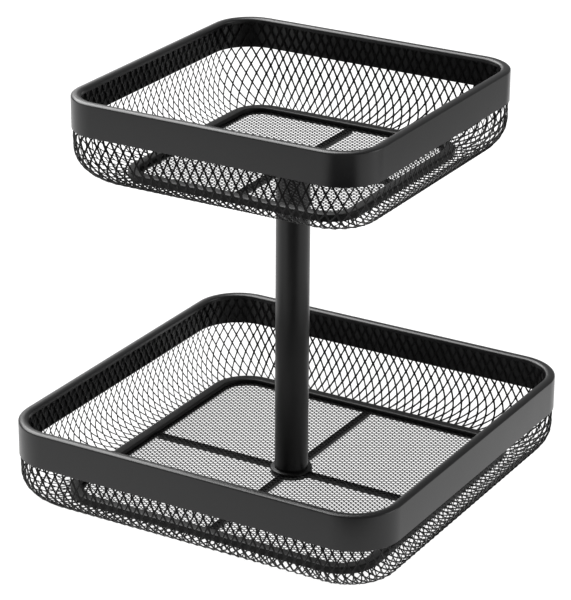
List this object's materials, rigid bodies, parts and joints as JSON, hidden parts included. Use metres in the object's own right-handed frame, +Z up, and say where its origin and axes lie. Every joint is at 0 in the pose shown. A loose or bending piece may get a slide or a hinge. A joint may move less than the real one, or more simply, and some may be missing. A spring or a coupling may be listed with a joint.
{
  "type": "tiered wire basket",
  "caption": "Tiered square wire basket: net trays with folded metal rims, the smaller above the larger, on a round centre pole.",
  "frame": {"origin": "middle of the lower tray's underside, on the surface that the basket stands on", "axes": "+Z up along the pole, +X along the front side of the trays, +Y from the front to the back"},
  "size_m": [0.31, 0.31, 0.308],
  "materials": {
    "rim_coat": "satin black powder coat",
    "net_coat": "satin black powder coat on expanded mesh",
    "frame_coat": "satin black powder coat",
    "pole_coat": "satin black powder coat",
    "washer_coat": "satin dark grey coat",
    "plug_steel": "plain turned steel",
    "screw_steel": "black oxide"
  },
  "bodies": {
    "root": {"lower_rim_band": "rim_coat", "lower_side_net": "net_coat", "lower_floor_frame": "frame_coat", "lower_floor_net": "net_coat", "lower_hub_plate": "frame_coat", "lower_bar_right": "frame_coat", "lower_bar_back": "frame_coat", "lower_bar_left": "frame_coat", "lower_bar_front": "frame_coat", "upper_rim_band": "rim_coat", "upper_side_net": "net_coat", "upper_floor_frame": "frame_coat", "upper_floor_net": "net_coat", "upper_hub_plate": "frame_coat", "upper_bar_right": "frame_coat", "upper_bar_back": "frame_coat", "upper_bar_left": "frame_coat", "upper_bar_front": "frame_coat", "pole_tube": "pole_coat", "pole_bottom_plug": "plug_steel", "pole_top_plug": "plug_steel", "foot_washer": "washer_coat", "top_washer": "washer_coat", "bottom_screw": "screw_steel", "top_screw": "screw_steel"}
  },
  "joints": []
}
